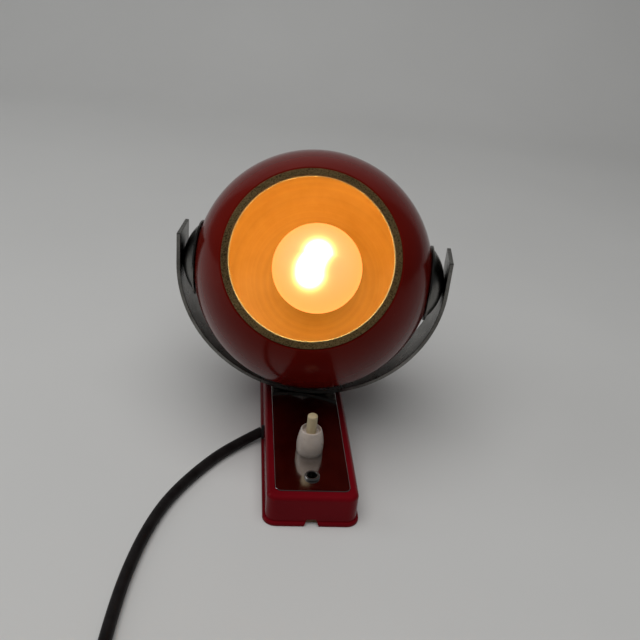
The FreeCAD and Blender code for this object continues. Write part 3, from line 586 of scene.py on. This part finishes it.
def make_stage():
    """A pale sheet that lies flat under the lamp and sweeps up behind it."""
    back = SHEET_BEND_START + SHEET_BEND_RADIUS
    line = [(SHEET_NEAR, 0.0), (SHEET_BEND_START, 0.0)]
    for step in range(1, SHEET_BEND_STEPS + 1):
        turn = math.pi / 2 * step / SHEET_BEND_STEPS
        line.append((SHEET_BEND_START + SHEET_BEND_RADIUS * math.sin(turn),
                     SHEET_BEND_RADIUS * (1 - math.cos(turn))))
    line.append((back, SHEET_TOP))

    def build(bm):
        ends = (-SHEET_HALF_WIDTH, SHEET_HALF_WIDTH)
        rows = [[bm.verts.new((x, y, z - SHEET_DROP)) for x in ends] for y, z in line]
        for low, high in zip(rows, rows[1:]):
            bm.faces.new((low[0], low[1], high[1], high[0]))

    sheet = mesh_piece("backdrop_sheet", build, Matrix.Rotation(-CAMERA_HEADING, 4, "Z"))
    look = Shader("backdrop_paper", Roughness=0.7)
    shaded = tuple(channel * FLOOR_SHADE for channel in FLOOR_COLOUR)
    look.colour(look.ramp(look.noise(6, detail=3), (0.3, shaded), (0.7, FLOOR_COLOUR)))
    look.bump(look.noise(420, detail=4), 0.0001, 0.15)
    sheet.data.materials.append(look.material)


def area_light(name, place, target, size, power, colour, mirrored):
    """A rectangular light. One that isn't mirrored lights the lamp without showing in its gloss."""
    data = bpy.data.lights.new(name, "AREA")
    data.shape = "RECTANGLE"
    data.size, data.size_y = size
    data.energy = power
    data.color = colour
    lamp = link(name, data)
    lamp.location = place
    lamp.rotation_euler = (Vector(target) - Vector(place)).to_track_quat("-Z", "Y").to_euler()
    lamp.visible_glossy = mirrored


def make_light():
    world = bpy.data.worlds.new("room")
    world.use_nodes = True
    background = world.node_tree.nodes["Background"]
    background.inputs["Color"].default_value = ROOM_COLOUR
    background.inputs["Strength"].default_value = ROOM_STRENGTH
    bpy.context.scene.world = world
    area_light("overhead_panel", (-0.15, -0.35, 1.2), (0, 0, 0), (1.3, 1.3), 12.5, (1.0, 0.99, 0.98), False)
    area_light("left_panel", (-1.1, 0.1, 0.6), (0, 0, 0.08), (0.5, 0.9), 1.8, (0.95, 0.98, 1.0), True)
    bpy.context.scene.view_settings.view_transform = "Standard"
    bpy.context.scene.view_settings.look = "None"


# ---- Bulb ----

def bulb_profile():
    """The front pole, round the ball, and a smooth waist down to the cap."""
    points = []
    for step in range(BULB_ARC_STEPS + 1):
        turn = BULB_ARC * step / BULB_ARC_STEPS
        points.append((BULB_RADIUS * math.sin(turn), BULB_CENTRE + BULB_RADIUS * math.cos(turn)))
    start = Vector(points[-1])
    heading = Vector((-math.cos(math.pi - BULB_ARC), -math.sin(math.pi - BULB_ARC)))
    corner = start + heading * WAIST_LEAD
    end = Vector((NECK_RADIUS, NECK_END))
    lead = Vector((NECK_RADIUS + NECK_FLARE, NECK_END + NECK_LEAD))
    for step in range(1, WAIST_STEPS + 1):
        t = step / WAIST_STEPS
        near = start * (1 - t) ** 3 + corner * (3 * t * (1 - t) ** 2)
        far = lead * (3 * t * t * (1 - t)) + end * t ** 3
        points.append(tuple(near + far))
    return points


def make_bulb():
    place = SHADE @ Matrix.Translation((LAMP_OFFSET, 0, 0))
    glass_piece = mesh_piece("bulb_pearl_glass", lambda bm: lathe(bm, bulb_profile(), closed=False), place)
    dress(glass_piece, "bulb_glass", "shade", "bulb_glass")


# ---- Switch spring ----

SPRING_TURNS = 4
SPRING_WIRE = 0.25 * MM
TURN_STEPS = 24
WIRE_SIDES = 10


def spring_coil(bm, foot, radius, height):
    """A round wire wound up from its foot, with flat ends."""
    steps = SPRING_TURNS * TURN_STEPS
    rings = []
    for step in range(steps + 1):
        turn = 2 * math.pi * step / TURN_STEPS
        outward = Vector((math.cos(turn), math.sin(turn), 0))
        centre = foot + outward * radius + Vector((0, 0, height * step / steps))
        angles = [2 * math.pi * k / WIRE_SIDES for k in range(WIRE_SIDES)]
        offsets = [outward * math.cos(a) + Vector((0, 0, math.sin(a))) for a in angles]
        rings.append([bm.verts.new(centre + offset * SPRING_WIRE) for offset in offsets])
    for low, high in zip(rings, rings[1:]):
        for k in range(WIRE_SIDES):
            after = (k + 1) % WIRE_SIDES
            bm.faces.new((low[k], low[after], high[after], high[k]))
    bm.faces.new(rings[0])
    bm.faces.new(rings[-1])


def make_spring():
    """Winds the switch spring from its seat up to the top of the pin spring's box, on a mesh of its own."""
    low, high = (Vector(corner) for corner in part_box("pin_spring"))
    seat = Vector(((low.x + high.x) / 2, (low.y + high.y) / 2, low.z))
    free_height = high.z - low.z
    radius = (high.x - low.x) / 2 - SPRING_WIRE
    foot = seat + Vector((0, 0, SPRING_WIRE))
    wound = free_height - 2 * SPRING_WIRE
    piece = mesh_piece("switch_spring", lambda bm: spring_coil(bm, foot, radius, wound))
    dress(piece, "plated_steel", "base", "pin_spring")
    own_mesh(piece)


# ---- Build ----

make_camera()
make_cord()
paint_frame()
make_bulb()
make_spring()
make_stage()
make_light()
